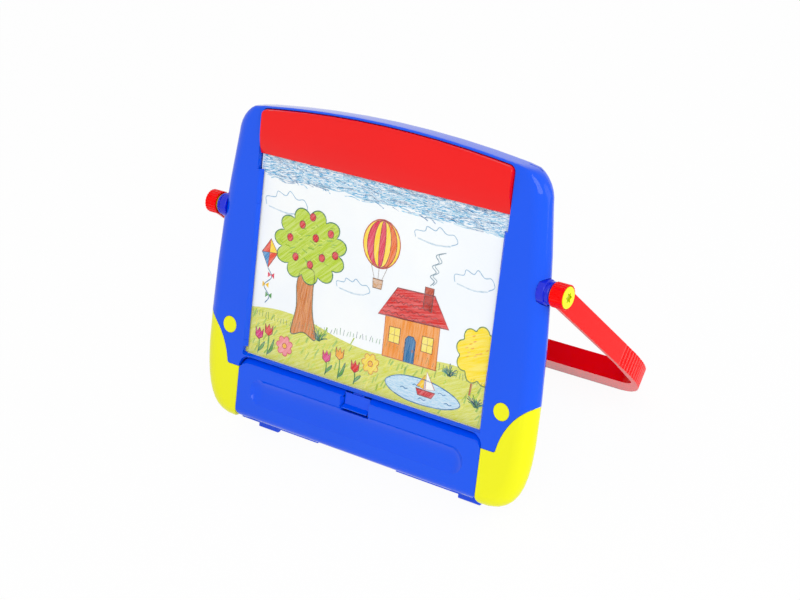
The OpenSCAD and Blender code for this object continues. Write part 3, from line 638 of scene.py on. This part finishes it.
    # kite near the left edge
    kx, kv = -128, 186
    kite = [(kx, kv + 15), (kx + 10, kv + 2), (kx - 1, kv - 15), (kx - 10, kv)]
    g.shape(kite, "F0542E", "8E1A2C", 0.8, 0.0, 0.8)
    g.under()
    g.fill([(kx, kv + 15), (kx + 10, kv + 2), (kx, kv + 1)], "FFE23A")
    g.fill([(kx - 1, kv - 15), (kx - 10, kv), (kx, kv + 1)], "4E9AD0")
    g.under()
    g.line([(kx, kv + 15), (kx - 1, kv - 15)], "8E1A2C", 0.6)
    g.line([(kx - 10, kv), (kx + 10, kv + 2)], "8E1A2C", 0.6)
    tail = [(kx - 1, kv - 15), (kx + 5, kv - 24), (kx - 4, kv - 34), (kx + 4, kv - 44), (kx - 1, kv - 52)]
    g.line(curve(tail, 6), "3A7FA8", 0.7)
    for x, v, c in ((kx + 4, kv - 22, "E63A5E"), (kx - 2, kv - 33, GOLD), (kx + 3, kv - 43, LEAF)):
        g.fill([(x, v), (x + 4, v + 3), (x + 4, v - 3)], c)
        g.fill([(x, v), (x - 4, v + 3), (x - 4, v - 3)], c)
    g.layer -= 2

    # tulips and daisies in front
    for x, v, c in ((-132, 98, "E23A8A"), (-120, 104, "E2312C"), (-44, 96, "E23A8A"), (-28, 103, "F6B21C"),
                    (-8, 95, "E2312C")):
        g.line(curve([(x, 80), (x + 1, v - 8), (x, v)], 5), LEAF, 1.1)
        g.shape(curve([(x, 82), (x + 6, 87), (x + 8, v - 4), (x + 3, 88)], 4, True), "6DB04A", TEAL, 0.5)
        g.under()
        g.shape([(x - 5, v + 9), (x - 4.6, v), (x, v - 3), (x + 4.6, v), (x + 5, v + 9), (x + 2.4, v + 4.6),
                 (x, v + 9.6), (x - 2.4, v + 4.6)], c, "8E1A2C", 0.7)
        g.layer -= 1
    for x, v, c in ((-98, 96, "F4A0A8"), (10, 106, "F7E04A")):
        g.under()
        g.shape(puff(x, v, 9.5, 9.5, 7, 0.28, 0.2, 70), c, "D8505A" if c[1] == "4" else "D88A1C", 0.7)
        g.under()
        g.shape(ring(x, v, 2.8, 2.8, 14), "F6C21C", "C2452E", 0.6)
        g.layer -= 2

    # tufts of dark grass
    for cx, cv, n in ((-56, 112, 12), (102, 118, 13), (136, 96, 16)):
        for i in range(n):
            a = math.radians(150 - 120 * i / (n - 1))
            k = rnd.uniform(8, 15)
            blade = [(cx + rnd.uniform(-2, 2), cv), (cx + 0.6 * k * math.cos(a), cv + 0.6 * k * math.sin(a)),
                     (cx + k * math.cos(a), cv + k * math.sin(a) - 1.5)]
            g.line(curve(blade, 4), rnd.choice((TEAL, "2A8C8C", LEAF)), 0.8)
    g.finish("child_drawing")


draw()


# ---------- floor, world and lamps ----------
FLOOR_HALF, FLOOR_DROP = 6.0, 0.0002
FLOOR_WHITE = 0.95  # share of plain white in what background rays see of the floor; the rest shows the shadow
ROOM_LIGHT = 0.67


def make_floor():
    mesh = bpy.data.meshes.new("floor")
    s = FLOOR_HALF
    mesh.from_pydata([(-s, -s, 0), (s, -s, 0), (s, s, 0), (-s, s, 0)], [], [(0, 1, 2, 3)])
    floor = bpy.data.objects.new("floor", mesh)
    floor.location.z = -FLOOR_DROP
    bpy.context.scene.collection.objects.link(floor)
    mat, n = new_material("floor")
    tint = n.mix(n.noise(n.place(), 3.0, 2.0), (0.97, 0.97, 0.97, 1), WHITE)
    matte = n.new("ShaderNodeBsdfDiffuse", {"Color": tint})
    white = n.new("ShaderNodeEmission", {"Color": WHITE, "Strength": 1.0})
    share = n.math("MULTIPLY", n.background_rays(), FLOOR_WHITE)
    both = n.new("ShaderNodeMixShader", {0: share, 1: matte.outputs[0], 2: white.outputs[0]})
    n.new("ShaderNodeOutputMaterial", {"Surface": both.outputs[0]})
    mesh.materials.append(mat)


def make_world():
    world = bpy.data.worlds.new("studio")
    bpy.context.scene.world = world
    world.use_nodes = True
    n = Nodes(world.node_tree)
    room = n.new("ShaderNodeBackground", {"Color": WHITE, "Strength": ROOM_LIGHT})
    plain = n.new("ShaderNodeBackground", {"Color": WHITE, "Strength": 1.0})
    both = n.new("ShaderNodeMixShader", {0: n.background_rays(), 1: room.outputs[0], 2: plain.outputs[0]})
    n.new("ShaderNodeOutputWorld", {"Surface": both.outputs[0]})


def area_lamp(name, place, size, watts):
    """A square lamp aimed at the middle of the easel."""
    data = bpy.data.lights.new(name, "AREA")
    data.shape, data.size, data.energy = "SQUARE", size, watts
    lamp = bpy.data.objects.new(name, data)
    lamp.location = place
    lamp.rotation_mode = "QUATERNION"
    lamp.rotation_quaternion = (Vector((0, 0, 0.15)) - Vector(place)).to_track_quat("-Z", "Y")
    lamp.visible_camera = False
    bpy.context.scene.collection.objects.link(lamp)


make_floor()
make_world()
area_lamp("key", (1.8, -2.0, 2.6), 2.2, 46)
area_lamp("fill", (2.6, 0.6, 1.0), 1.8, 12)

bpy.context.scene.view_settings.view_transform = "Standard"
